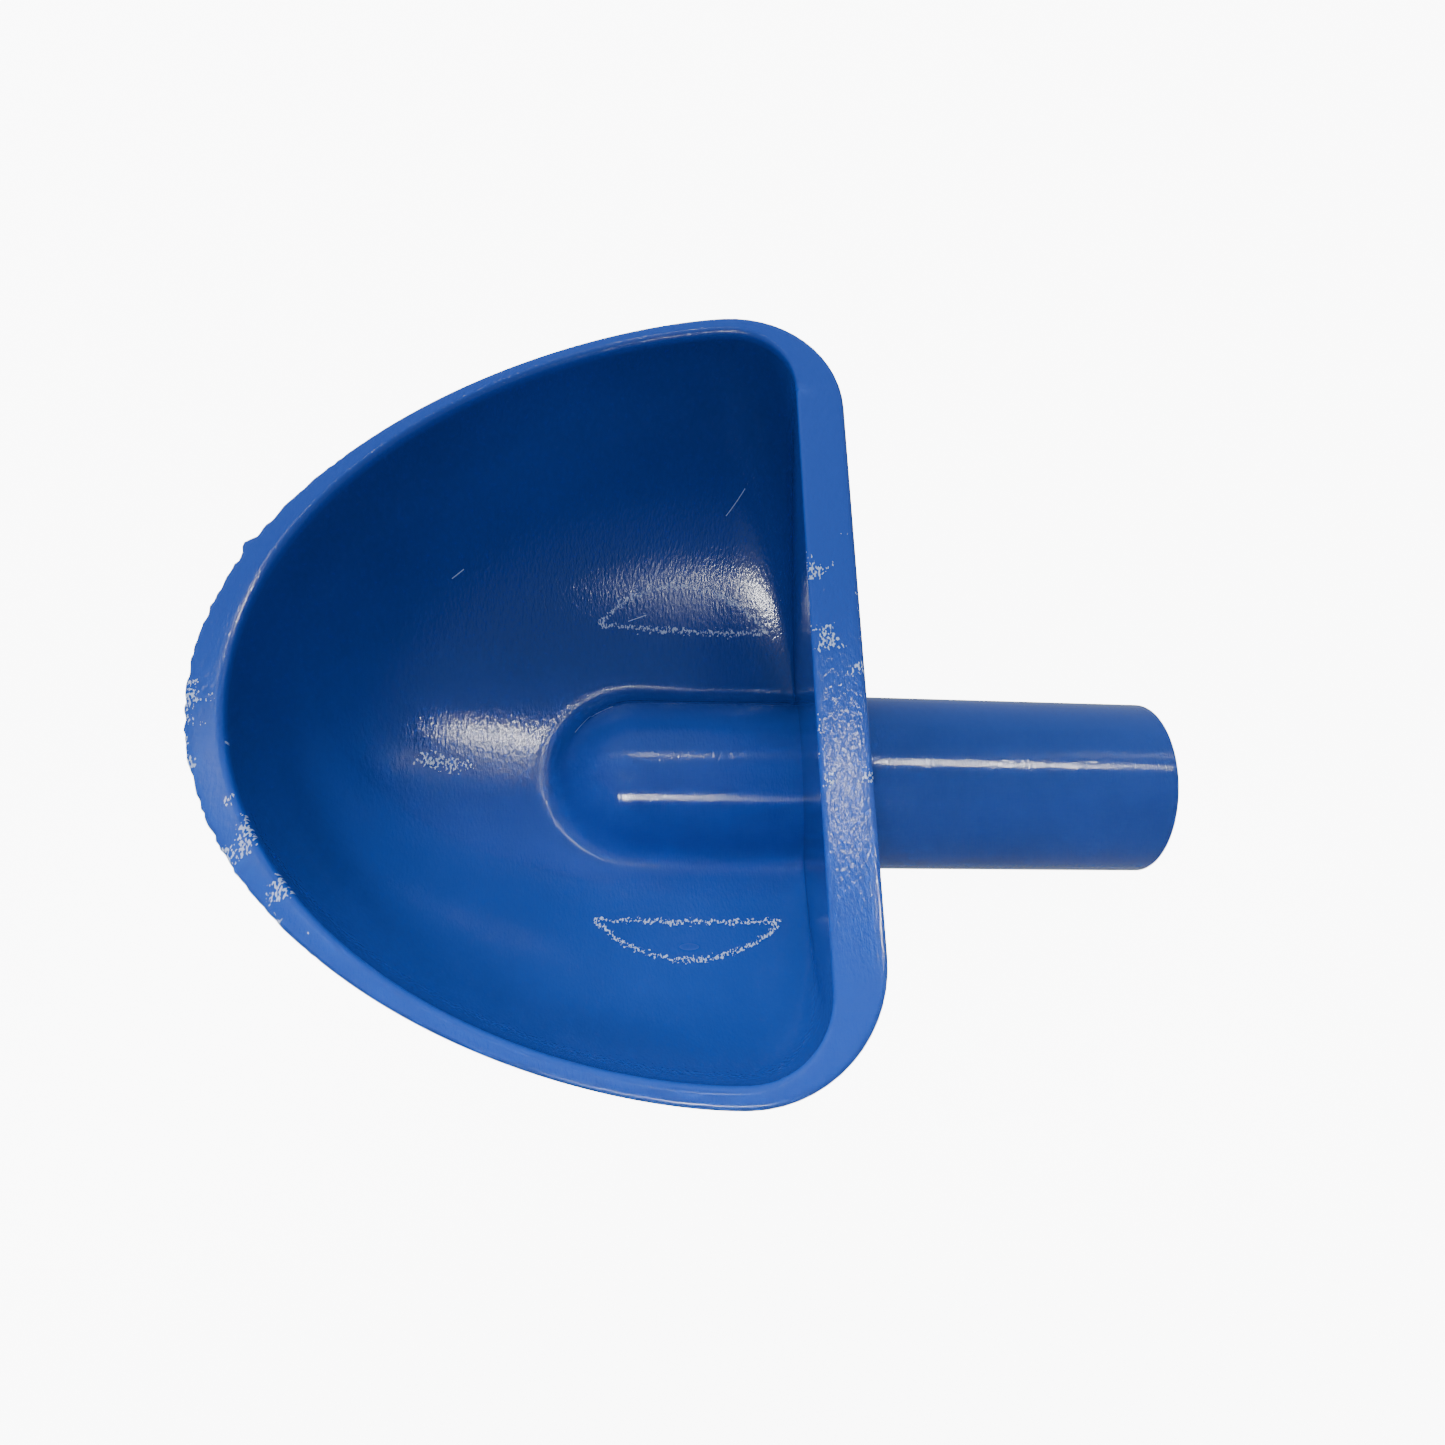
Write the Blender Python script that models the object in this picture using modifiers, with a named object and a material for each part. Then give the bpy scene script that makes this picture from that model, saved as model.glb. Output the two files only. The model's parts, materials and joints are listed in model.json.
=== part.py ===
"""Feed scoop: a rounded plastic bowl with a blind sleeve moulded into its floor, and a pole socket
whose spigot is seated in that sleeve through the back wall.

The origin is the centre of the socket's mouth. +X runs out of the mouth along the socket's axis, and
+Z is up, with the scoop's mouth facing up. The bowl is drawn in its own rim frame (rim in the plane
z = 0, back wall in the plane x = 0, nose towards -x), which leans against the socket's axis.
"""

import math

import bmesh
import bpy
from mathutils import Matrix

MM = 0.001

# bowl, measured at the rim
BOWL_WIDTH = 100.0 * MM
BOWL_LENGTH = 80.0 * MM
BACK_WALL = 6.0 * MM
SIDE_WALL = 2.5 * MM
NOSE_WALL = 4.7 * MM
SHOULDER_SETBACK = 15.0 * MM  # from the back face to where the bowl is widest
OUTER_CORNER_RADIUS = 15.0 * MM
INNER_CORNER_RADIUS = 9.0 * MM
OUTER_NOSE_POWER = 1.7
INNER_NOSE_POWER = 1.8

# bowl, measured downwards from the rim
DEPTH_AT_SHOULDER = 46.5 * MM
FLOOR_WALL = 2.5 * MM
SIDE_FULLNESS = 2.0  # 2 is a plain half ellipse across the bowl
NOSE_FULLNESS = 0.7  # how much squarer than that the profile along the nose is

# socket
RIM_LEAN = math.radians(9.6)  # between the rim and the socket's axis
SOCKET_DEPTH = 48.0 * MM  # of the axis below the rim, at the back face
SOCKET_LENGTH = 50.0 * MM
SOCKET_RADIUS = 13.5 * MM
POLE_BORE_RADIUS = 11.0 * MM
POLE_BORE_DEPTH = 46.0 * MM
SPIGOT_RADIUS = 10.0 * MM
SPIGOT_BORE_RADIUS = 8.0 * MM
SPIGOT_REACH = 28.0 * MM  # past the back face

# blind sleeve in the bowl's floor
SLEEVE_ROOT_RADIUS = 12.3 * MM
SLEEVE_TIP_RADIUS = 11.9 * MM
SLEEVE_REACH = 31.5 * MM  # from the back face to the centre of the domed end
SEAT_GAP = 0.3 * MM

# mesh
ROWS_DOWN_WALL = 14
NOSE_COLUMNS = 44
CORNER_COLUMNS = 5
ROUND_SEGMENTS = 48
DOME_STEPS = 8
CUT_MARGIN = 4.0 * MM
CUT_BLOCK_SIDE = 4 * SOCKET_RADIUS
WELD = 0.01 * MM
SHARP_ANGLE = math.radians(35)

BLUE = (0.012, 0.115, 0.48, 1.0)
BOWL_ROUGHNESS = 0.3
SOCKET_ROUGHNESS = 0.26


def new_collection(name):
    collection = bpy.data.collections.new(name)
    bpy.context.scene.collection.children.link(collection)
    return collection


def add_mesh_object(name, mesh, collection):
    made = bpy.data.objects.new(name, mesh)
    collection.objects.link(made)
    return made


def mesh_from_bmesh(name, bm):
    bmesh.ops.recalc_face_normals(bm, faces=bm.faces)
    mesh = bpy.data.meshes.new(name)
    bm.to_mesh(mesh)
    bm.free()
    return mesh


def plastic(name, roughness):
    material = bpy.data.materials.new(name)
    material.use_nodes = True
    shader = material.node_tree.nodes["Principled BSDF"]
    shader.inputs["Base Color"].default_value = BLUE
    shader.inputs["Roughness"].default_value = roughness
    shader.inputs["Metallic"].default_value = 0.0
    return material


def half_outline(length, half_width, back_x, corner_radius, nose_power):
    """The mouth's outline from the back wall round one corner to the nose, as (x, y, keel x)."""
    shoulder_x = -SHOULDER_SETBACK
    reach_back = back_x - shoulder_x
    corner_y = half_width - corner_radius
    points = []
    for i in range(CORNER_COLUMNS):
        turn = math.pi / 2 * i / CORNER_COLUMNS
        x = shoulder_x + reach_back * math.cos(turn)
        y = corner_y + corner_radius * math.sin(turn)
        points.append((x, y, x))
    nose_reach = length - SHOULDER_SETBACK
    half_columns = NOSE_COLUMNS // 2
    for i in range(half_columns + 1):
        turn = math.pi / 2 * i / half_columns
        along = math.sin(turn)
        across = math.sqrt(max(0.0, 1.0 - along**nose_power))
        points.append((shoulder_x - nose_reach * along, half_width * across, shoulder_x))
    return points


def bowl_form(name, outline, depth):
    """A closed solid: the mouth's flat, the back's flat, and a wall that rounds down to the keel."""
    mirrored = [(x, -y, keel) for x, y, keel in reversed(outline[:-1])]
    columns = outline + mirrored
    nose_reach = -SHOULDER_SETBACK - outline[-1][0]
    bm = bmesh.new()
    grid = []
    for x, y, keel_x in columns:
        nose_share = max(0.0, (keel_x - x) / nose_reach)
        power = SIDE_FULLNESS + NOSE_FULLNESS * nose_share**2
        column = []
        for row in range(ROWS_DOWN_WALL + 1):
            fall = math.pi / 2 * row / ROWS_DOWN_WALL
            out = max(0.0, math.cos(fall)) ** (2 / power)
            down = math.sin(fall) ** (2 / power)
            px = keel_x + (x - keel_x) * out
            local_depth = depth + math.tan(RIM_LEAN) * (px + SHOULDER_SETBACK)
            column.append(bm.verts.new((px, y * out, -local_depth * down)))
        grid.append(column)
    for left, right in zip(grid, grid[1:]):
        for row in range(ROWS_DOWN_WALL):
            bm.faces.new((left[row], left[row + 1], right[row + 1], right[row]))
    bm.faces.new([column[0] for column in grid])
    bm.faces.new(grid[0] + list(reversed(grid[-1])))
    bmesh.ops.remove_doubles(bm, verts=bm.verts, dist=WELD)
    bmesh.ops.dissolve_degenerate(bm, edges=bm.edges, dist=WELD)
    return mesh_from_bmesh(name, bm)


def turned_mesh(name, profile):
    """A closed solid turned about X from (x, radius) points that start and end on the axis."""
    mesh = bpy.data.meshes.new(name + "_profile")
    mesh.from_pydata(
        [(radius, 0.0, x) for x, radius in profile],
        [(i, i + 1) for i in range(len(profile) - 1)],
        [],
    )
    turned = bpy.data.objects.new(name + "_profile", mesh)
    bpy.context.scene.collection.objects.link(turned)
    screw = turned.modifiers.new("turn", "SCREW")
    screw.axis = "Z"
    screw.steps = ROUND_SEGMENTS
    screw.render_steps = ROUND_SEGMENTS
    screw.use_merge_vertices = True
    screw.merge_threshold = WELD
    evaluated = turned.evaluated_get(bpy.context.evaluated_depsgraph_get())
    solid = bpy.data.meshes.new_from_object(evaluated)
    solid.transform(Matrix.Rotation(math.pi / 2, 4, "Y"))
    solid.name = name
    bpy.data.objects.remove(turned, do_unlink=True)
    return solid


def make_cutter(name, mesh, collection):
    cutter = add_mesh_object(name, mesh, collection)
    cutter.hide_render = True
    cutter.display_type = "WIRE"
    return cutter


def combine(target, other, operation):
    modifier = target.modifiers.new(other.name, "BOOLEAN")
    modifier.operation = operation
    modifier.solver = "EXACT"
    modifier.object = other


def shade_round(mesh):
    mesh.shade_smooth()
    mesh.set_sharp_from_angle(angle=SHARP_ANGLE)


def capsule_profile(back_x, back_radius, dome_x, dome_radius):
    """From the back end's centre out to its edge, along to the dome, and round to the axis."""
    points = [(back_x, 0.0), (back_x, back_radius)]
    for i in range(DOME_STEPS):
        turn = math.pi / 2 * i / DOME_STEPS
        points.append((dome_x - dome_radius * math.sin(turn), dome_radius * math.cos(turn)))
    points.append((dome_x - dome_radius, 0.0))
    return points


def lean_into_place(scoop_part):
    """Puts a piece drawn in the rim frame where its back face meets the socket's axis."""
    scoop_part.rotation_euler = (0.0, -RIM_LEAN, 0.0)
    scoop_part.location = (
        -SOCKET_LENGTH - SOCKET_DEPTH * math.sin(RIM_LEAN),
        0.0,
        SOCKET_DEPTH * math.cos(RIM_LEAN),
    )


def wall_block(name, face_x, side_sign, cutters):
    """A block whose one face lies along the back wall, at face_x in the rim frame."""
    bpy.ops.mesh.primitive_cube_add(size=1.0)
    block = bpy.context.object
    block.name = name
    block.data.transform(Matrix.Scale(CUT_BLOCK_SIDE, 4))
    centre = (face_x + side_sign * CUT_BLOCK_SIDE / 2, 0.0, -SOCKET_DEPTH)
    block.data.transform(Matrix.Translation(centre))
    block.hide_render = True
    block.display_type = "WIRE"
    for collection in block.users_collection:
        collection.objects.unlink(block)
    cutters.objects.link(block)
    lean_into_place(block)
    return block


def make_bowl(parts, cutters):
    half_width = BOWL_WIDTH / 2
    outer = half_outline(BOWL_LENGTH, half_width, 0.0, OUTER_CORNER_RADIUS, OUTER_NOSE_POWER)
    inner = half_outline(
        BOWL_LENGTH - NOSE_WALL,
        half_width - SIDE_WALL,
        -BACK_WALL,
        INNER_CORNER_RADIUS,
        INNER_NOSE_POWER,
    )
    bowl = add_mesh_object(
        "scoop_bowl", bowl_form("scoop_bowl", outer, DEPTH_AT_SHOULDER + FLOOR_WALL), parts
    )
    lean_into_place(bowl)

    hollow_mesh = bowl_form("bowl_hollow", inner, DEPTH_AT_SHOULDER)
    raise_mouth(hollow_mesh)
    hollow = make_cutter("bowl_hollow", hollow_mesh, cutters)
    lean_into_place(hollow)
    combine(bowl, hollow, "DIFFERENCE")

    sleeve_back = -SOCKET_LENGTH + CUT_MARGIN
    dome_x = -SOCKET_LENGTH - SLEEVE_REACH
    sleeve = make_cutter(
        "sleeve_form",
        turned_mesh(
            "sleeve_form",
            capsule_profile(sleeve_back, SLEEVE_ROOT_RADIUS, dome_x, SLEEVE_TIP_RADIUS),
        ),
        cutters,
    )
    combine(bowl, sleeve, "UNION")
    combine(bowl, wall_block("behind_back_wall", 0.0, 1, cutters), "DIFFERENCE")

    seat_radius = SPIGOT_RADIUS + SEAT_GAP
    seat = make_cutter(
        "sleeve_seat",
        turned_mesh(
            "sleeve_seat",
            capsule_profile(sleeve_back + CUT_MARGIN, seat_radius, dome_x, seat_radius),
        ),
        cutters,
    )
    combine(bowl, seat, "DIFFERENCE")
    shade_round(bowl.data)
    bowl.data.materials.append(plastic("bowl_plastic", BOWL_ROUGHNESS))


def raise_mouth(mesh):
    """Adds a straight collar above the rim, so that the cut leaves no skin in the rim's plane."""
    bm = bmesh.new()
    bm.from_mesh(mesh)
    bm.faces.ensure_lookup_table()
    mouth = max(bm.faces, key=lambda face: face.normal.z * face.calc_area())
    raised = bmesh.ops.extrude_face_region(bm, geom=[mouth])
    moved = [item for item in raised["geom"] if isinstance(item, bmesh.types.BMVert)]
    bmesh.ops.translate(bm, verts=moved, vec=(0.0, 0.0, CUT_MARGIN))
    if mouth.is_valid:
        bmesh.ops.delete(bm, geom=[mouth], context="FACES_ONLY")
    bmesh.ops.recalc_face_normals(bm, faces=bm.faces)
    bm.to_mesh(mesh)
    bm.free()


def make_socket(parts, cutters):
    barrel_profile = [
        (0.0, 0.0),
        (0.0, SOCKET_RADIUS),
        (-SOCKET_LENGTH - CUT_MARGIN, SOCKET_RADIUS),
        (-SOCKET_LENGTH - CUT_MARGIN, 0.0),
    ]
    socket = add_mesh_object("pole_socket", turned_mesh("pole_socket", barrel_profile), parts)

    combine(socket, wall_block("back_wall_cutter", SEAT_GAP, -1, cutters), "DIFFERENCE")

    spigot_end = -SOCKET_LENGTH - SPIGOT_REACH
    spigot_root = -POLE_BORE_DEPTH + CUT_MARGIN
    spigot_profile = [
        (spigot_root, 0.0),
        (spigot_root, SPIGOT_RADIUS),
        (spigot_end, SPIGOT_RADIUS),
        (spigot_end, 0.0),
    ]
    spigot = make_cutter("spigot_form", turned_mesh("spigot_form", spigot_profile), cutters)
    combine(socket, spigot, "UNION")

    bore_profile = [
        (CUT_MARGIN, 0.0),
        (CUT_MARGIN, POLE_BORE_RADIUS),
        (-POLE_BORE_DEPTH, POLE_BORE_RADIUS),
        (-POLE_BORE_DEPTH, SPIGOT_BORE_RADIUS),
        (spigot_end - CUT_MARGIN, SPIGOT_BORE_RADIUS),
        (spigot_end - CUT_MARGIN, 0.0),
    ]
    bore = make_cutter("pole_bore", turned_mesh("pole_bore", bore_profile), cutters)
    combine(socket, bore, "DIFFERENCE")
    shade_round(socket.data)
    socket.data.materials.append(plastic("socket_plastic", SOCKET_ROUGHNESS))


def main():
    for old in list(bpy.data.objects):
        bpy.data.objects.remove(old, do_unlink=True)
    parts = new_collection("feed_scoop")
    cutters = new_collection("cutters")
    make_bowl(parts, cutters)
    make_socket(parts, cutters)


main()
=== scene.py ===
import json
import math
import random

import bmesh
import bpy
import numpy as np
from mathutils import Matrix, Vector, noise


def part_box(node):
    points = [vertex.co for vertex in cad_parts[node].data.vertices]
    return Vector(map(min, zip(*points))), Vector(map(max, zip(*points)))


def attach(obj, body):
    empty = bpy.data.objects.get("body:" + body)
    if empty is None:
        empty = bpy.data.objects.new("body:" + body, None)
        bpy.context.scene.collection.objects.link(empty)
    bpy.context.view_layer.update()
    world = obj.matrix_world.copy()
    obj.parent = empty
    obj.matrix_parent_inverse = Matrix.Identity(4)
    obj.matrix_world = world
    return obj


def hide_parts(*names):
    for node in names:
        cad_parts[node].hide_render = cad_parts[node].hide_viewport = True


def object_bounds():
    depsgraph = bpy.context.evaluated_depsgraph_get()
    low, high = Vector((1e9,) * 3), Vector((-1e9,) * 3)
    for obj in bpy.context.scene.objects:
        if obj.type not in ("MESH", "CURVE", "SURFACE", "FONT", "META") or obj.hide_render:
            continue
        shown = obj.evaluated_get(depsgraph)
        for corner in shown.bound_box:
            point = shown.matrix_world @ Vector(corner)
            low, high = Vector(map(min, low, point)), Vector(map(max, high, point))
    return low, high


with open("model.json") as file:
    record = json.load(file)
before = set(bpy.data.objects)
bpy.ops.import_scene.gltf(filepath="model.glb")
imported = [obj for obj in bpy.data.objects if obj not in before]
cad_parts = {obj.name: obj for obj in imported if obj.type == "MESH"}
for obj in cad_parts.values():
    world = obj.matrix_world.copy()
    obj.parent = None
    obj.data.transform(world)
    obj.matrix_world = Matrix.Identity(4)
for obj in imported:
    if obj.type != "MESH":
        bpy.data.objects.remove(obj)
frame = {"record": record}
CAD_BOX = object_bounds()

MM = 0.001
WHOLE = 2 * math.pi
QUARTER = math.pi / 2


# ---------------------------------------------------------------- sizes read from the frame

def mount(name):
    return next(m for m in frame["record"]["mounts"] if m["name"] == name)


BOWL_LOW, BOWL_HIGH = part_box("scoop_bowl")
SOCKET_LOW, SOCKET_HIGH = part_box("pole_socket")

RIM_NORMAL = Vector(mount("rim_face")["axis"]).normalized()
RIM_LEAN = math.atan2(-RIM_NORMAL.x, RIM_NORMAL.z)
RIM_ALONG = Vector((math.cos(RIM_LEAN), 0.0, math.sin(RIM_LEAN)))

BACK_WALL = 6.0 * MM
SIDE_WALL = 2.5 * MM
NOSE_WALL = 4.7 * MM
FLOOR_WALL = 2.5 * MM

# the middle of the back edge of the rim is where the bowl is drawn from
RIM_BACK = Vector(mount("rim_face")["pos_m"]) + RIM_ALONG * (BACK_WALL / 2)
BOWL_FRAME = Matrix.Translation(RIM_BACK) @ Matrix.Rotation(-RIM_LEAN, 4, "Y")

HALF_WIDTH = BOWL_HIGH.y
BOWL_LENGTH = (RIM_BACK.x - BOWL_LOW.x) / math.cos(RIM_LEAN)
AXIS_DEPTH = RIM_BACK.z / math.cos(RIM_LEAN)
SOCKET_LENGTH = -RIM_BACK.x - AXIS_DEPTH * math.sin(RIM_LEAN)
SOCKET_RADIUS = SOCKET_HIGH.z
SPIGOT_REACH = -SOCKET_LOW.x - SOCKET_LENGTH

# ---------------------------------------------------------------- the bowl's own shape

SETBACK = 15.0 * MM
OUTER_CORNER = 15.0 * MM
INNER_CORNER = 9.0 * MM
OUTER_NOSE_POWER = 1.7
INNER_NOSE_POWER = 1.8
DEPTH = 46.5 * MM
SIDE_FULLNESS = 2.0
NOSE_FULLNESS = 0.7

SLEEVE_ROOT = 12.3 * MM
SLEEVE_TIP = 11.9 * MM
SLEEVE_REACH = 31.5 * MM
SLEEVE_BLEND = 4.0 * MM
SEAT_RADIUS = 10.3 * MM
SEAT_SEGMENTS = 128

RAGGED = 0.35 * MM
WEAR_DEPTH = 2.0 * MM
BROAD_CHIPS = 1.1 * MM
FINE_CHIPS = 0.5 * MM
EDGE_REACH = 0.9 * MM
EDGE_DROP = 1.0 * MM
NOSE_WEAR_FROM = 58.0 * MM
NOSE_WEAR_FADE = 12.0 * MM
BURR_ACROSS = 18.0 * MM
BURR_WIDTH = 0.8 * MM
BURR_HEIGHT = 1.1 * MM
NICK_WIDTH = 0.7 * MM
NICK_DEPTH = 0.7 * MM

INNER_EDGE = 1.0 * MM
BACK_INNER_EDGE = 0.6 * MM
OUTER_EDGE = 0.7 * MM
EDGE_STEPS = 6
RIM_STEPS = 4
SQUEEZE_FADE = 8.0 * MM

CORNER_COLUMNS = 14
NOSE_COLUMNS = 250
COARSE_ROWS = 44
FINE_ROWS = 62
FINE_FROM = math.radians(64.0)
BACK_ROWS = 26
BISECTIONS = 36
WELD = 0.002 * MM
SHARP_ANGLE = math.radians(40.0)


def wall_angles():
    """How far round from the rim to the keel each row lies, closer together beside the sleeve."""
    coarse = np.linspace(0.0, FINE_FROM, COARSE_ROWS, endpoint=False)
    fine = np.linspace(FINE_FROM, QUARTER, FINE_ROWS + 1)
    return np.concatenate([coarse, fine])


def mouth_outline(length, half_width, back_x, corner, nose_power):
    """Points (x, y, keel x) from the back's +Y end round the nose to its -Y end."""
    points = []
    for i in range(CORNER_COLUMNS):
        turn = QUARTER * i / CORNER_COLUMNS
        x = -SETBACK + (back_x + SETBACK) * math.cos(turn)
        points.append((x, half_width - corner + corner * math.sin(turn), x))
    for i in range(NOSE_COLUMNS // 2 + 1):
        turn = QUARTER * i / (NOSE_COLUMNS // 2)
        along = math.sin(turn)
        across = math.sqrt(max(0.0, 1.0 - along**nose_power))
        points.append((-SETBACK - (length - SETBACK) * along, half_width * across, -SETBACK))
    mirrored = [(x, -y, keel) for x, y, keel in reversed(points[:-1])]
    return np.array(points + mirrored)


def wall_grid(outline, depth):
    """An array of points, [column, row, xyz], from the rim (row 0) down to the keel."""
    angles = wall_angles()
    nose_reach = -SETBACK - outline[:, 0].min()
    share = np.clip((outline[:, 2] - outline[:, 0]) / nose_reach, 0.0, 1.0)
    power = SIDE_FULLNESS + NOSE_FULLNESS * share[:, None] ** 2
    out = np.clip(np.cos(angles), 0.0, 1.0)[None, :] ** (2 / power)
    down = np.sin(angles)[None, :] ** (2 / power)
    x = outline[:, 2:3] + (outline[:, 0:1] - outline[:, 2:3]) * out
    y = outline[:, 1:2] * out
    z = -(depth + math.tan(RIM_LEAN) * (x + SETBACK)) * down
    return np.stack([x, y, z], axis=2)


def sleeve_distance(points, grow):
    """Distance from points to the sleeve's outside; grow widens it."""
    inwards = np.array([-math.cos(RIM_LEAN), 0.0, math.sin(RIM_LEAN)])
    from_root = points - np.array([0.0, 0.0, -AXIS_DEPTH])
    along = from_root @ inwards
    held = np.minimum(along, SLEEVE_REACH)
    radius = SLEEVE_ROOT + (SLEEVE_TIP - SLEEVE_ROOT) * np.clip(held / SLEEVE_REACH, 0.0, 1.0)
    centre = held[..., None] * inwards
    return np.linalg.norm(from_root - centre, axis=-1) - radius - grow


def blend_with_sleeve(grid, side):
    """Raises the floor (side 1) or lowers the underside (side -1) over the sleeve, with a fillet."""
    base = grid.copy()
    low = np.zeros(grid.shape[:2])
    high = np.full(grid.shape[:2], 3 * SLEEVE_ROOT)
    for _ in range(BISECTIONS):
        middle = (low + high) / 2
        trial = base.copy()
        trial[..., 2] += side * middle
        from_floor = middle
        from_sleeve = sleeve_distance(trial, 0.0)
        overlap = np.maximum(SLEEVE_BLEND - np.abs(from_floor - from_sleeve), 0.0) / SLEEVE_BLEND
        joined = np.minimum(from_floor, from_sleeve) - overlap**2 * SLEEVE_BLEND / 4
        inside = joined < 0
        low = np.where(inside, middle, low)
        high = np.where(inside, high, middle)
    base[..., 2] += side * (low + high) / 2
    return base


class Skin:
    """Collects patches of quads whose shared borders are welded at the end."""

    def __init__(self):
        self.points = []
        self.faces = []
        self.count = 0

    def add(self, grid, flip=False):
        columns, rows = grid.shape[:2]
        index = self.count + np.arange(columns * rows).reshape(columns, rows)
        quads = np.stack(
            [index[:-1, :-1], index[:-1, 1:], index[1:, 1:], index[1:, :-1]], axis=-1
        ).reshape(-1, 4)
        if flip:
            quads = quads[:, ::-1]
        self.points.append(grid.reshape(-1, 3))
        self.faces.append(quads)
        self.count += columns * rows

    def mesh(self, name, matrix):
        mesh = bpy.data.meshes.new(name)
        points = np.concatenate(self.points)
        faces = np.concatenate(self.faces)
        mesh.from_pydata(points.tolist(), [], faces.tolist())
        bm = bmesh.new()
        bm.from_mesh(mesh)
        bmesh.ops.remove_doubles(bm, verts=bm.verts, dist=WELD)
        bmesh.ops.dissolve_degenerate(bm, edges=bm.edges, dist=WELD)
        bmesh.ops.recalc_face_normals(bm, faces=bm.faces)
        bm.to_mesh(mesh)
        bm.free()
        mesh.transform(matrix)
        return mesh


def back_wall_grid(section, top_y):
    """Vertical columns of the back wall, from each point of the section up to the rim.

    section runs from the +Y end of the rim, down through the keel, to the -Y end."""
    share = np.linspace(0.0, 1.0, BACK_ROWS + 1)[None, :]
    top = section.copy()
    top[:, 1] = top_y
    top[:, 2] = 0.0
    return section[:, None, :] * (1 - share[..., None]) + top[:, None, :] * share[..., None]


def full_section(grid, column_a, column_b):
    """The two end columns of a wall grid as one curve across the back."""
    return np.concatenate([grid[column_a], grid[column_b][::-1][1:]])


def rim_strip(inner_loop, outer_loop, inner_edge):
    """The rounded inner edge, the flat rim and the rounded outer edge, for each column."""
    across = outer_loop - inner_loop
    across[:, 2] = 0.0
    width = np.linalg.norm(across, axis=1, keepdims=True)
    unit = across / width
    rows = []
    for i in range(EDGE_STEPS + 1):
        turn = QUARTER * i / EDGE_STEPS
        rows.append(
            inner_loop
            + unit * inner_edge[:, None] * (1 - math.cos(turn))
            + np.array([0.0, 0.0, 1.0]) * inner_edge[:, None] * math.sin(turn)
        )
    start = rows[-1]
    end = outer_loop - unit * OUTER_EDGE + np.array([0.0, 0.0, OUTER_EDGE])
    for i in range(1, RIM_STEPS):
        rows.append(start + (end - start) * i / RIM_STEPS)
    for i in range(EDGE_STEPS + 1):
        turn = QUARTER * i / EDGE_STEPS
        rows.append(
            outer_loop
            - unit * OUTER_EDGE * (1 - math.sin(turn))
            + np.array([0.0, 0.0, 1.0]) * OUTER_EDGE * math.cos(turn)
        )
    return np.stack(rows, axis=1)


def lower_rim(grid, drop):
    """Squeezes a wall towards its keel so that its top row leaves room for the rim's rounding."""
    z = grid[..., 2]
    fade = np.exp(z / SQUEEZE_FADE)
    grid[..., 2] = z - drop * fade
    return grid


def wear(points, outline):
    """Moves points of the worn rim: a ragged nose edge, a burr beside it and a nick at the back.

    The outline is the rim's outer edge."""
    worn = points.copy()
    on_plus_side = outline[outline[:, 1] > 0]
    burr = Vector(on_plus_side[np.argmin(np.abs(on_plus_side[:, 1] - BURR_ACROSS))][:2])
    nick = Vector((-BACK_WALL, HALF_WIDTH - SIDE_WALL - INNER_CORNER))
    near_rim = np.where(points[:, 2] > -WEAR_DEPTH)[0]
    for i in near_rim:
        x, y, z = points[i]
        gaps = np.hypot(outline[:, 0] - x, outline[:, 1] - y)
        close = math.exp(-((gaps.min() / EDGE_REACH) ** 2) - (z / EDGE_DROP) ** 2)
        if close > 0.02:
            outward = Vector((x + SETBACK * 2, y, 0.0)).normalized()
            on_nose = min(1.0, max(0.0, (-x - NOSE_WEAR_FROM) / NOSE_WEAR_FADE))
            broad = noise.noise(Vector((x, y, 0.0)) / BROAD_CHIPS)
            fine = noise.noise(Vector((x, y, 9.0)) / FINE_CHIPS)
            rough = broad + 0.5 * fine
            from_burr = (Vector((x, y)) - burr).length / BURR_WIDTH
            push = close * (RAGGED * on_nose * rough + BURR_HEIGHT * math.exp(-(from_burr**2)))
            worn[i] += np.array(outward) * push
        from_nick = (Vector((x, y)) - nick).length / NICK_WIDTH
        worn[i, 2] -= NICK_DEPTH * math.exp(-(from_nick**2))
    return worn


def cut_seat(bowl):
    """Bores the sleeve for the spigot with a capsule, in from behind the back wall to a domed end."""
    bm = bmesh.new()
    laid = Matrix.Rotation(QUARTER, 4, "Y")
    bmesh.ops.create_uvsphere(
        bm, u_segments=SEAT_SEGMENTS, v_segments=SEAT_SEGMENTS // 2, radius=SEAT_RADIUS, matrix=laid
    )
    for vert in bm.verts:
        dome_side = vert.co.x < -SEAT_RADIUS / 100
        vert.co.x += -SOCKET_LENGTH - SLEEVE_REACH if dome_side else -SOCKET_LENGTH + BACK_WALL
    capsule = bpy.data.meshes.new("seat")
    bm.to_mesh(capsule)
    bm.free()
    tool = bpy.data.objects.new("seat", capsule)
    bpy.context.scene.collection.objects.link(tool)
    cut = bowl.modifiers.new("seat", "BOOLEAN")
    cut.operation = "DIFFERENCE"
    cut.solver = "EXACT"
    cut.object = tool
    ready = bowl.evaluated_get(bpy.context.evaluated_depsgraph_get())
    mesh = bpy.data.meshes.new_from_object(ready)
    bowl.modifiers.clear()
    bowl.data = mesh
    mesh.name = "bowl_moulding"
    bpy.data.objects.remove(tool)


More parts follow.
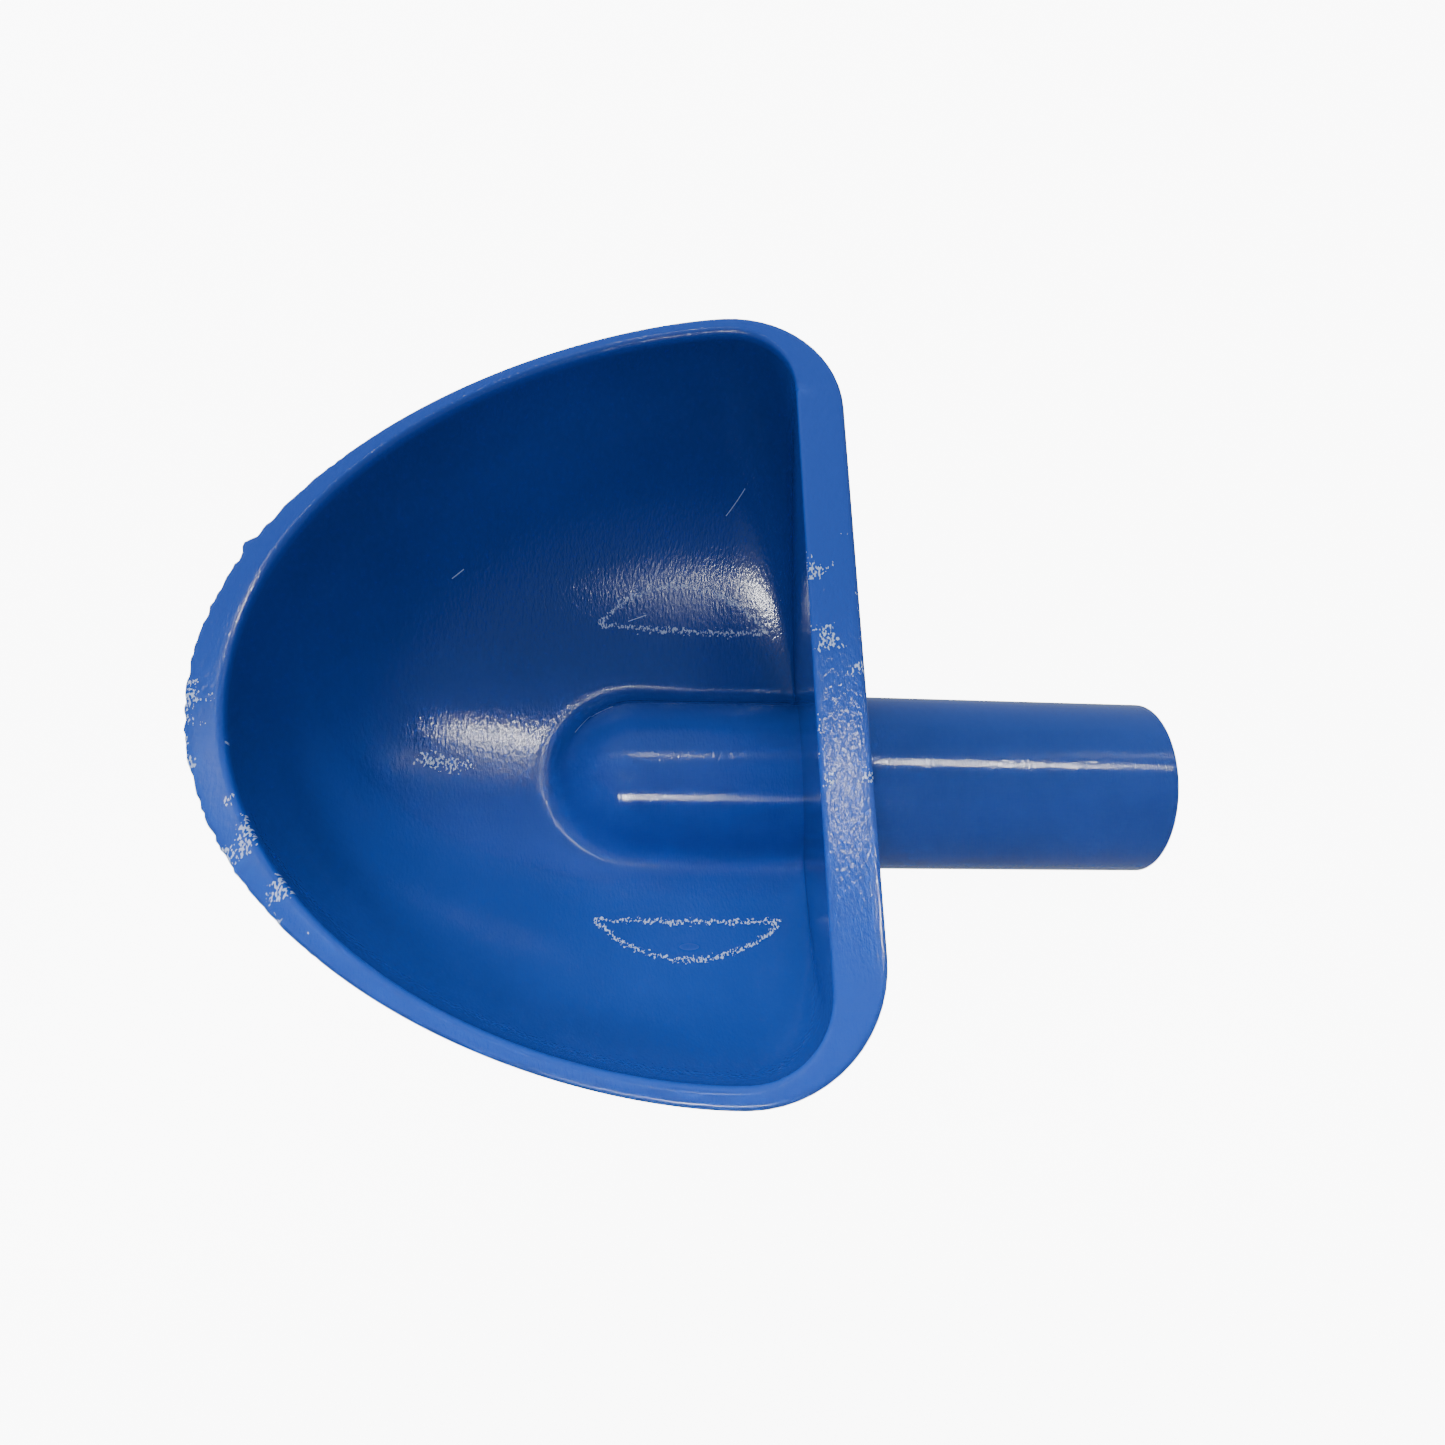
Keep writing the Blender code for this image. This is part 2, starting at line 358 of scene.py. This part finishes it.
def make_bowl():
    inner = mouth_outline(
        BOWL_LENGTH - NOSE_WALL, HALF_WIDTH - SIDE_WALL, -BACK_WALL, INNER_CORNER, INNER_NOSE_POWER
    )
    outer = mouth_outline(BOWL_LENGTH, HALF_WIDTH, 0.0, OUTER_CORNER, OUTER_NOSE_POWER)
    inner_wall = blend_with_sleeve(wall_grid(inner, DEPTH), 1)
    outer_wall = blend_with_sleeve(wall_grid(outer, DEPTH + FLOOR_WALL), -1)
    columns = len(inner)
    ramp = np.clip(np.arange(columns) / CORNER_COLUMNS, 0.0, 1.0)
    ramp = np.minimum(ramp, ramp[::-1])
    edge = BACK_INNER_EDGE + (INNER_EDGE - BACK_INNER_EDGE) * ramp
    for c in range(columns):
        inner_wall[c] = lower_rim(inner_wall[c], edge[c])
        outer_wall[c] = lower_rim(outer_wall[c], OUTER_EDGE)

    inner_section = full_section(inner_wall, 0, -1)
    outer_section = full_section(outer_wall, 0, -1)
    inner_back = back_wall_grid(inner_section, inner_section[:, 1])
    outer_back = back_wall_grid(outer_section, outer_section[:, 1])
    inner_back[:, -1, 2] = -BACK_INNER_EDGE
    inner_back[:, :-1, 2] = np.minimum(inner_back[:, :-1, 2], -BACK_INNER_EDGE)
    outer_back[:, -1, 2] = -OUTER_EDGE
    outer_back[:, :-1, 2] = np.minimum(outer_back[:, :-1, 2], -OUTER_EDGE)

    skin = Skin()
    outer_edge = outer_wall[:, 0].copy()
    skin.add(inner_wall)
    skin.add(outer_wall, flip=True)
    skin.add(inner_back)
    skin.add(outer_back, flip=True)
    skin.add(rim_strip(inner_wall[:, 0], outer_wall[:, 0], edge))
    back_edge = np.full(len(inner_section), BACK_INNER_EDGE)
    skin.add(rim_strip(inner_back[:, -1], outer_back[:, -1], back_edge), flip=True)
    skin.points = [wear(points, outer_edge) for points in skin.points]
    mesh = skin.mesh("bowl_moulding", BOWL_FRAME)
    bowl = bpy.data.objects.new("bowl_moulding", mesh)
    bpy.context.scene.collection.objects.link(bowl)
    cut_seat(bowl)
    return bowl


# ---------------------------------------------------------------- the socket

def rounded(corner_x, corner_r, radius, start, steps=5):
    """Points of a quarter-round edge from angle start, about a centre at (x, r)."""
    return [
        (
            corner_x + radius * math.cos(start + QUARTER * i / steps),
            corner_r + radius * math.sin(start + QUARTER * i / steps),
        )
        for i in range(steps + 1)
    ]


POLE_BORE_RADIUS = 11.0 * MM
POLE_BORE_DEPTH = 46.0 * MM
SPIGOT_RADIUS = 10.0 * MM
SPIGOT_BORE = 8.0 * MM
MOUTH_OUTER_EDGE = 0.5 * MM
MOUTH_INNER_EDGE = 0.8 * MM
SHOULDER_IN_WALL = 3.0 * MM
CIRCLE_RADIUS = 9.5 * MM
SOCKET_SEGMENTS = 192


def socket_profile():
    """Points (x, radius) round the cut through the tube's wall; the last joins the first."""
    end = -SOCKET_LENGTH - SPIGOT_REACH
    shoulder = -SOCKET_LENGTH - SHOULDER_IN_WALL
    outline = [(end, SPIGOT_BORE), (end, SPIGOT_RADIUS), (shoulder, SPIGOT_RADIUS), (shoulder, SOCKET_RADIUS)]
    outer_edge = rounded(-MOUTH_OUTER_EDGE, SOCKET_RADIUS - MOUTH_OUTER_EDGE, MOUTH_OUTER_EDGE, 0.0)
    inner_edge = rounded(-MOUTH_INNER_EDGE, POLE_BORE_RADIUS + MOUTH_INNER_EDGE, MOUTH_INNER_EDGE, -QUARTER)
    outline += outer_edge[::-1] + inner_edge[::-1]
    outline.append((-POLE_BORE_DEPTH, POLE_BORE_RADIUS))
    outline.append((-POLE_BORE_DEPTH, SPIGOT_BORE))
    return outline


def turning_tree():
    """Sweeps a profile drawn as edges round a circle and lays its axis along X.

    The profile's X is its distance outside the circle, and its Y the place along the tube."""
    tree = bpy.data.node_groups.new("turned_tube", "GeometryNodeTree")
    face = tree.interface
    face.new_socket("Profile", in_out="INPUT", socket_type="NodeSocketGeometry")
    face.new_socket("Segments", in_out="INPUT", socket_type="NodeSocketInt")
    face.new_socket("Circle Radius", in_out="INPUT", socket_type="NodeSocketFloat")
    face.new_socket("Plastic", in_out="INPUT", socket_type="NodeSocketMaterial")
    face.new_socket("Tube", in_out="OUTPUT", socket_type="NodeSocketGeometry")
    given = tree.nodes.new("NodeGroupInput")
    result = tree.nodes.new("NodeGroupOutput")
    profile = tree.nodes.new("GeometryNodeMeshToCurve")
    circle = tree.nodes.new("GeometryNodeCurvePrimitiveCircle")
    sweep = tree.nodes.new("GeometryNodeCurveToMesh")
    lay = tree.nodes.new("GeometryNodeTransform")
    lay.inputs["Rotation"].default_value = (0.0, -QUARTER, 0.0)
    realize = tree.nodes.new("GeometryNodeRealizeInstances")
    paint = tree.nodes.new("GeometryNodeSetMaterial")
    for source, target in [
        (given.outputs["Profile"], profile.inputs["Mesh"]),
        (given.outputs["Segments"], circle.inputs["Resolution"]),
        (given.outputs["Circle Radius"], circle.inputs["Radius"]),
        (circle.outputs["Curve"], sweep.inputs["Curve"]),
        (profile.outputs["Curve"], sweep.inputs["Profile Curve"]),
        (sweep.outputs["Mesh"], lay.inputs["Geometry"]),
        (lay.outputs["Geometry"], realize.inputs["Geometry"]),
        (realize.outputs["Geometry"], paint.inputs["Geometry"]),
        (given.outputs["Plastic"], paint.inputs["Material"]),
        (paint.outputs["Geometry"], result.inputs["Tube"]),
    ]:
        tree.links.new(source, target)
    return tree


def make_socket(plastic):
    outline = socket_profile()
    points = [(radius - CIRCLE_RADIUS, x, 0.0) for x, radius in outline]
    edges = [(i, (i + 1) % len(points)) for i in range(len(points))]
    drawn = bpy.data.meshes.new("socket_profile")
    drawn.from_pydata(points, edges, [])
    draft = bpy.data.objects.new("socket_draft", drawn)
    bpy.context.scene.collection.objects.link(draft)
    turned = draft.modifiers.new("turned", "NODES")
    turned.node_group = turning_tree()
    values = {"Segments": SOCKET_SEGMENTS, "Circle Radius": CIRCLE_RADIUS, "Plastic": plastic}
    for item in turned.node_group.interface.items_tree:
        if item.name in values:
            turned[item.identifier] = values[item.name]
    ready = draft.evaluated_get(bpy.context.evaluated_depsgraph_get())
    mesh = bpy.data.meshes.new_from_object(ready)
    mesh.name = "socket_tube"
    bpy.data.objects.remove(draft)
    bm = bmesh.new()
    bm.from_mesh(mesh)
    bmesh.ops.recalc_face_normals(bm, faces=bm.faces)
    bm.to_mesh(mesh)
    bm.free()
    socket = bpy.data.objects.new("socket_tube", mesh)
    bpy.context.scene.collection.objects.link(socket)
    return socket


# ---------------------------------------------------------------- materials

class Nodes:
    """Short hands for building one material's node tree."""

    def __init__(self, name):
        self.material = bpy.data.materials.new(name)
        self.material.use_nodes = True
        self.tree = self.material.node_tree
        self.shader = self.tree.nodes["Principled BSDF"]

    def new(self, kind, **inputs):
        node = self.tree.nodes.new(kind)
        for key, value in inputs.items():
            node.inputs[key.replace("_", " ")].default_value = value
        return node

    def link(self, source, target):
        self.tree.links.new(source, target)

    def feed(self, socket, value):
        """Links a socket, or sets a plain value."""
        if isinstance(value, bpy.types.NodeSocket):
            self.link(value, socket)
        else:
            socket.default_value = value

    def math(self, operation, first, second, clamp=False):
        node = self.new("ShaderNodeMath")
        node.operation = operation
        node.use_clamp = clamp
        self.feed(node.inputs[0], first)
        self.feed(node.inputs[1], second)
        return node.outputs[0]

    def vector(self, operation, first, second=None, scale=None):
        node = self.new("ShaderNodeVectorMath")
        node.operation = operation
        self.feed(node.inputs[0], first)
        if second is not None:
            self.feed(node.inputs[1], second)
        if scale is not None:
            self.feed(node.inputs["Scale"], scale)
        return node.outputs["Value" if operation in ("DOT_PRODUCT", "DISTANCE", "LENGTH") else "Vector"]

    def split(self, vector):
        node = self.new("ShaderNodeSeparateXYZ")
        self.link(vector, node.inputs[0])
        return node.outputs

    def mix(self, share, first, second):
        node = self.new("ShaderNodeMix")
        node.data_type = "RGBA"
        self.feed(node.inputs["Factor"], share)
        self.feed(node.inputs["A"], first)
        self.feed(node.inputs["B"], second)
        return node.outputs["Result"]

    def ramp(self, source, stops):
        node = self.new("ShaderNodeValToRGB")
        elements = node.color_ramp.elements
        while len(elements) < len(stops):
            elements.new(0.5)
        for element, (place, colour) in zip(elements, stops):
            element.position = place
            element.color = colour
        self.link(source, node.inputs["Fac"])
        return node.outputs["Color"]


BLUE_DEEP = (0.016, 0.060, 0.31, 1.0)
BLUE_PLAIN = (0.022, 0.078, 0.41, 1.0)
# the rim's top face is painted a lighter blue: a painted sheen where the light falls on it
RIM_SHEEN_BLUE = (0.020, 0.084, 0.47, 1.0)
# pale colour for real scratches and scuffs, and for painted highlights: the crescents, the keel's streak and
# glints on the rim
PALE_WEAR_AND_HIGHLIGHT = (0.62, 0.76, 1.0, 1.0)
WEAR_AND_HIGHLIGHT_STRENGTH = 0.75

# painted highlights, the rim's painted sheen, dulled gloss and wear on the bowl, in mm in its own frame:
# along it from the back of the rim, and across it
RIM_BAND = 2.0
# two crescents outlined in painted highlight, either side of the sleeve
CRESCENT_MIDDLE = -23.0
CRESCENT_CHORD = 23.0
CRESCENT_HALF = 13.0
CRESCENT_RISE = 6.0
CRESCENT_LINE = 0.28
# an oval of painted highlight along the keel, standing in for a lamp's streak on the floor
KEEL_HIGHLIGHT_MIDDLE = -58.0
KEEL_HIGHLIGHT_SIZE = (8.0, 2.5)
# each dulled oval as its middle and its half lengths
DULL_OVALS = [
    ((CRESCENT_MIDDLE, CRESCENT_CHORD + 4.0), (32.0, 13.0)),
    ((KEEL_HIGHLIGHT_MIDDLE + 8.0, 0.0), (26.0, 9.0)),
]
# scuffs on the nose's rim and the back's rim, which also carry painted glints
NOSE_SCUFF_AND_GLINT_FROM = 62.0
BACK_SCUFF_AND_GLINT_HALF = 16.0
SCRATCH_COUNT = 5
SCRATCH_SEED = 11
SCRATCH_LENGTH = (2.0, 5.0)
SCRATCH_HEADING = (0.3, 0.9)
SCRATCH_LINE = 0.05


def grey(value):
    return (value, value, value, 1.0)


def bowl_plan(nodes, place):
    """Surface points in the bowl's own frame, in mm."""
    plan = nodes.new("ShaderNodeMapping", Location=RIM_BACK, Rotation=(0.0, -RIM_LEAN, 0.0))
    plan.vector_type = "TEXTURE"
    nodes.link(place, plan.inputs["Vector"])
    return nodes.vector("SCALE", plan.outputs["Vector"], scale=1.0 / MM)


def below(nodes, value, limit):
    return nodes.math("LESS_THAN", value, limit)


def fold(nodes, plan):
    """The plan with both sides of the bowl laid on the +Y one."""
    parts = nodes.split(plan)
    folded = nodes.new("ShaderNodeCombineXYZ")
    nodes.link(parts["X"], folded.inputs["X"])
    nodes.link(nodes.math("ABSOLUTE", parts["Y"], 0.0), folded.inputs["Y"])
    return folded.outputs[0]


def painted_highlight_crescents(nodes, plan):
    """One along the outlines of two crescents of painted highlight, mirrored either side of the sleeve."""
    radius = (CRESCENT_HALF**2 + CRESCENT_RISE**2) / (2 * CRESCENT_RISE)
    centre = Vector((CRESCENT_MIDDLE, CRESCENT_CHORD + CRESCENT_RISE - radius, 0.0))
    folded = fold(nodes, plan)
    parts = nodes.split(folded)
    aside = parts["Y"]
    from_arc = nodes.math("SUBTRACT", nodes.vector("DISTANCE", folded, centre), radius)
    on_arc = below(nodes, nodes.math("ABSOLUTE", from_arc, 0.0), CRESCENT_LINE)
    on_arc = nodes.math("MULTIPLY", on_arc, nodes.math("GREATER_THAN", aside, CRESCENT_CHORD))
    from_chord = nodes.math("ABSOLUTE", nodes.math("SUBTRACT", aside, CRESCENT_CHORD), 0.0)
    from_middle = nodes.math("ABSOLUTE", nodes.math("SUBTRACT", parts["X"], CRESCENT_MIDDLE), 0.0)
    on_chord = nodes.math(
        "MULTIPLY", below(nodes, from_chord, CRESCENT_LINE), below(nodes, from_middle, CRESCENT_HALF)
    )
    return nodes.math("MAXIMUM", on_arc, on_chord)


def keel_painted_highlight(nodes, plan):
    """Fades from one in the middle of an oval of painted highlight on the keel to nothing at its edge."""
    reach = nodes.vector("SUBTRACT", plan, (KEEL_HIGHLIGHT_MIDDLE, 0.0, 0.0))
    reach = nodes.vector("DIVIDE", reach, (*KEEL_HIGHLIGHT_SIZE, 1.0))
    return nodes.math("SUBTRACT", 1.0, nodes.vector("LENGTH", reach), True)


def dull_places(nodes, plan):
    """Rises to one where use has dulled the gloss: over the crescents and along the keel's painted highlight.
    """
    folded = fold(nodes, plan)
    dull = 0.0
    for middle, size in DULL_OVALS:
        reach = nodes.vector("SUBTRACT", folded, (*middle, 0.0))
        reach = nodes.vector("LENGTH", nodes.vector("DIVIDE", reach, (*size, 1.0)))
        inside = nodes.math("SUBTRACT", 1.0, reach, True)
        dull = nodes.math("MAXIMUM", nodes.math("MULTIPLY", inside, inside), dull)
    return dull


def rim_scuffs_and_glints(nodes, plan, on_rim):
    """One over the scuffed half of the nose's rim and the middle of the back's, which carry scuffs and
    painted glints.
    """
    parts = nodes.split(plan)
    nose = nodes.math("MULTIPLY", below(nodes, parts["X"], -NOSE_SCUFF_AND_GLINT_FROM), below(nodes, parts["Y"], 0.0))
    back = nodes.math("GREATER_THAN", parts["X"], -BACK_WALL / MM)
    back = nodes.math("MULTIPLY", back, below(nodes, nodes.math("ABSOLUTE", parts["Y"], 0.0), BACK_SCUFF_AND_GLINT_HALF))
    return nodes.math("MULTIPLY", nodes.math("MAXIMUM", nose, back), on_rim)


def scratches(nodes, plan):
    """One along a few short straight scratches, strewn by a seed."""
    chance = random.Random(SCRATCH_SEED)
    found = 0.0
    for _ in range(SCRATCH_COUNT):
        start = Vector((chance.uniform(-60.0, -15.0), chance.uniform(-38.0, 40.0), 0.0))
        heading = chance.uniform(*SCRATCH_HEADING)
        run = Vector((math.cos(heading), math.sin(heading), 0.0)) * chance.uniform(*SCRATCH_LENGTH)
        reach = nodes.vector("SUBTRACT", plan, start)
        share = nodes.math("ADD", nodes.vector("DOT_PRODUCT", reach, run / run.length_squared), 0.0, True)
        gap = nodes.vector("DISTANCE", reach, nodes.vector("SCALE", run, scale=share))
        found = nodes.math("MAXIMUM", below(nodes, gap, SCRATCH_LINE), found)
    return found


def moulded_blue(name, worn):
    nodes = Nodes(name)
    place = nodes.new("ShaderNodeTexCoord").outputs["Object"]
    cloud = nodes.new("ShaderNodeTexNoise", Scale=28.0, Detail=3.0, Roughness=0.5)
    nodes.link(place, cloud.inputs["Vector"])
    colour = nodes.ramp(cloud.outputs["Fac"], [(0.3, BLUE_DEEP), (0.7, BLUE_PLAIN)])
    gloss = nodes.ramp(cloud.outputs["Fac"], [(0.3, grey(0.06)), (0.7, grey(0.11))])
    # wear together with painted light: a painted sheen on the rim, painted highlights in the bowl, scratches
    # and scuffs
    if worn:
        plan = bowl_plan(nodes, place)
        height = nodes.new("ShaderNodeSeparateXYZ")
        nodes.link(plan, height.inputs[0])
        above_band = nodes.math("ADD", height.outputs["Z"], RIM_BAND)
        on_rim = nodes.ramp(above_band, [(0.35, grey(0.0)), (0.9, grey(1.0))])
        # painted sheen: the rim's top face is mixed to a lighter blue
        colour = nodes.mix(on_rim, colour, RIM_SHEEN_BLUE)
        flat = nodes.vector("MULTIPLY", plan, (1.0, 1.0, 0.0))
        wobble = nodes.new("ShaderNodeTexNoise", Scale=1.6, Detail=2.0, Roughness=0.6)
        nodes.link(flat, wobble.inputs["Vector"])
        shift = nodes.vector("SUBTRACT", wobble.outputs["Color"], (0.5, 0.5, 0.5))
        shift = nodes.vector("MULTIPLY", shift, (1.4, 2.4, 0.0))
        jagged = nodes.vector("ADD", flat, shift)
        grain = nodes.new("ShaderNodeTexNoise", Scale=1.0, Detail=1.0, Roughness=0.5)
        nodes.link(nodes.vector("MULTIPLY", flat, (3.6, 1.7, 0.0)), grain.inputs["Vector"])
        grains = nodes.ramp(grain.outputs["Fac"], [(0.3, grey(0.0)), (0.7, grey(1.0))])
        in_bowl = nodes.math("SUBTRACT", 1.0, on_rim, True)
        many = nodes.math("GREATER_THAN", grains, 0.50)
        patchy = nodes.new("ShaderNodeTexNoise", Scale=0.22, Detail=1.0, Roughness=0.5)
        nodes.link(flat, patchy.inputs["Vector"])
        patches = nodes.ramp(patchy.outputs["Fac"], [(0.45, grey(0.0)), (0.65, grey(1.0))])
        few = nodes.math("GREATER_THAN", nodes.math("MULTIPLY", grains, patches), 0.55)
        # painted highlights: pale speckles along the crescents and over an oval on the keel
        wear_and_highlights = nodes.math("MULTIPLY", painted_highlight_crescents(nodes, jagged), many)
        keel = nodes.math("GREATER_THAN", nodes.math("MULTIPLY", keel_painted_highlight(nodes, jagged), grains), 0.42)
        wear_and_highlights = nodes.math("MAXIMUM", wear_and_highlights, keel)
        wear_and_highlights = nodes.math("MULTIPLY", nodes.math("MAXIMUM", wear_and_highlights, scratches(nodes, flat)), in_bowl)
        # scuffs on the rim that also paint the lamps' glints
        rim = nodes.math("MULTIPLY", rim_scuffs_and_glints(nodes, jagged, on_rim), few)
        wear_and_highlights = nodes.math("MULTIPLY", nodes.math("MAXIMUM", wear_and_highlights, rim), WEAR_AND_HIGHLIGHT_STRENGTH)
        facing = nodes.new("ShaderNodeSeparateXYZ")
        nodes.link(nodes.new("ShaderNodeNewGeometry").outputs["Normal"], facing.inputs[0])
        wear_and_highlights = nodes.math("MULTIPLY", wear_and_highlights, nodes.math("GREATER_THAN", facing.outputs["Z"], 0.1))
        # paints the pale scratches and scuffs and the painted highlights into the colour
        colour = nodes.mix(wear_and_highlights, colour, PALE_WEAR_AND_HIGHLIGHT)
        dulled = nodes.math("MULTIPLY", dull_places(nodes, flat), in_bowl)
        gloss = nodes.mix(dulled, gloss, grey(0.29))
        gloss = nodes.mix(wear_and_highlights, gloss, grey(0.45))
    nodes.link(colour, nodes.shader.inputs["Base Color"])
    nodes.link(gloss, nodes.shader.inputs["Roughness"])
    stretch = nodes.new("ShaderNodeMapping", Scale=(2600.0, 1000.0, 1000.0))
    nodes.link(place, stretch.inputs["Vector"])
    peel = nodes.new("ShaderNodeTexNoise", Scale=1.0, Detail=2.0, Roughness=0.6)
    nodes.link(stretch.outputs["Vector"], peel.inputs["Vector"])
    bump = nodes.new("ShaderNodeBump", Strength=0.6, Distance=0.0001)
    nodes.link(peel.outputs["Fac"], bump.inputs["Height"])
    nodes.link(bump.outputs["Normal"], nodes.shader.inputs["Normal"])
    return nodes.material


FLOOR_GLOW = 9.0


def pale_floor():
    nodes = Nodes("pale_floor")
    nodes.shader.inputs["Base Color"].default_value = (0.9, 0.9, 0.9, 1.0)
    nodes.shader.inputs["Roughness"].default_value = 0.9
    nodes.shader.inputs["Emission Color"].default_value = (1.0, 1.0, 1.0, 1.0)
    nodes.shader.inputs["Emission Strength"].default_value = FLOOR_GLOW
    return nodes.material


# ---------------------------------------------------------------- stage

CAMERA_PLACE = Vector((-91.8, -53.52, 160.44)) * MM
CAMERA_TURN = (21.059, -7.8, -1.522)
CAMERA_LENS = 27.4
CAMERA_SHIFT = (0.0012, 0.0055)

LAMP_AIM = Vector((-0.075, 0.0, 0.02))
STRIP_HEIGHT = 0.9


def make_camera():
    data = bpy.data.cameras.new("camera")
    data.sensor_width = 36.0
    data.lens = CAMERA_LENS
    data.shift_x, data.shift_y = CAMERA_SHIFT
    data.clip_start = 0.005
    camera = bpy.data.objects.new("camera", data)
    camera.location = CAMERA_PLACE
    camera.rotation_euler = [math.radians(a) for a in CAMERA_TURN]
    bpy.context.scene.collection.objects.link(camera)
    bpy.context.scene.camera = camera


def lamp(name, place, length, width, turn, energy):
    """A rectangular lamp; its length lies along X before it is turned, and it shines down its -Z."""
    data = bpy.data.lights.new(name, "AREA")
    data.shape = "RECTANGLE"
    data.size = length
    data.size_y = width
    data.energy = energy
    light = bpy.data.objects.new(name, data)
    bpy.context.scene.collection.objects.link(light)
    light.matrix_world = Matrix.Translation(place) @ turn
    light.visible_camera = False
    return light


def soft_light(name, towards, length, width, energy, distance=0.9, spread=180.0, aim=LAMP_AIM):
    """Lights the plastic's colour and leaves no reflection in its gloss."""
    back = Vector(towards).normalized()
    up = back.cross(Vector((1.0, 0.0, 0.0))).normalized()
    turn = Matrix((up.cross(back), up, back)).transposed().to_4x4()
    light = lamp(name, Vector(aim) + back * distance, length, width, turn, energy)
    light.data.spread = math.radians(spread)
    light.visible_glossy = False


def strip_light(name, start, end, width, brightness):
    """A level strip that shows only as a reflection; its ends are slopes in X and Y seen from the bowl."""
    first = LAMP_AIM + Vector((*start, 1.0)) * STRIP_HEIGHT
    last = LAMP_AIM + Vector((*end, 1.0)) * STRIP_HEIGHT
    run = last - first
    turn = Matrix.Rotation(math.atan2(run.y, run.x), 4, "Z")
    energy = brightness * math.pi * run.length * width
    light = lamp(name, (first + last) / 2, run.length, width, turn, energy)
    light.visible_diffuse = False


def make_stage():
    low, high = CAD_BOX
    bpy.ops.mesh.primitive_plane_add(size=40.0, location=(0, 0, low.z - 0.0005))
    floor = bpy.context.object
    floor.name = "floor"
    floor.data.materials.append(pale_floor())
    floor.visible_diffuse = False
    floor.visible_glossy = False
    world = bpy.data.worlds.new("studio")
    bpy.context.scene.world = world
    world.use_nodes = True
    world.node_tree.nodes["Background"].inputs["Color"].default_value = (0.75, 0.85, 1.0, 1.0)
    world.node_tree.nodes["Background"].inputs["Strength"].default_value = 0.45
    soft_light("window", (-0.42, 0.76, 0.50), 1.2, 0.45, 8.0)
    soft_light("ceiling", (-0.25, 0.0, 0.97), 0.9, 0.9, 1.5)
    soft_light("beam", (-0.28, -0.22, 0.93), 0.2, 0.07, 0.026, 0.35, 8.0, (-0.07, -0.034, 0.0))
    strip_light("tip_lamp", (-0.85, 0.35), (-0.35, 0.43), 0.012, 25.0)
    strip_light("back_rim_lamp", (-0.11, 0.292), (-0.01, 0.292), 0.05, 55.0)
    strip_light("handle_lamp", (0.26, 0.166), (0.75, 0.166), 0.008, 400.0)
    strip_light("nose_lamp", (0.75, 0.46), (1.3, 0.65), 0.012, 30.0)
    strip_light("swelling_lamp", (-0.02, -1.0), (0.20, -0.99), 0.005, 800.0)
    strip_light("swelling_bounce", (-0.8, -1.22), (-0.1, -1.0), 0.008, 1500.0)


def main():
    bowl = make_bowl()
    bowl.data.shade_smooth()
    bowl.data.set_sharp_from_angle(angle=SHARP_ANGLE)
    bowl.data.materials.append(moulded_blue("bowl_blue", True))
    socket = make_socket(moulded_blue("socket_blue", False))
    socket.data.shade_smooth()
    socket.data.set_sharp_from_angle(angle=SHARP_ANGLE)
    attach(bowl, "root")
    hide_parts("scoop_bowl")
    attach(socket, "root")
    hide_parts("pole_socket")
    make_camera()
    make_stage()


main()
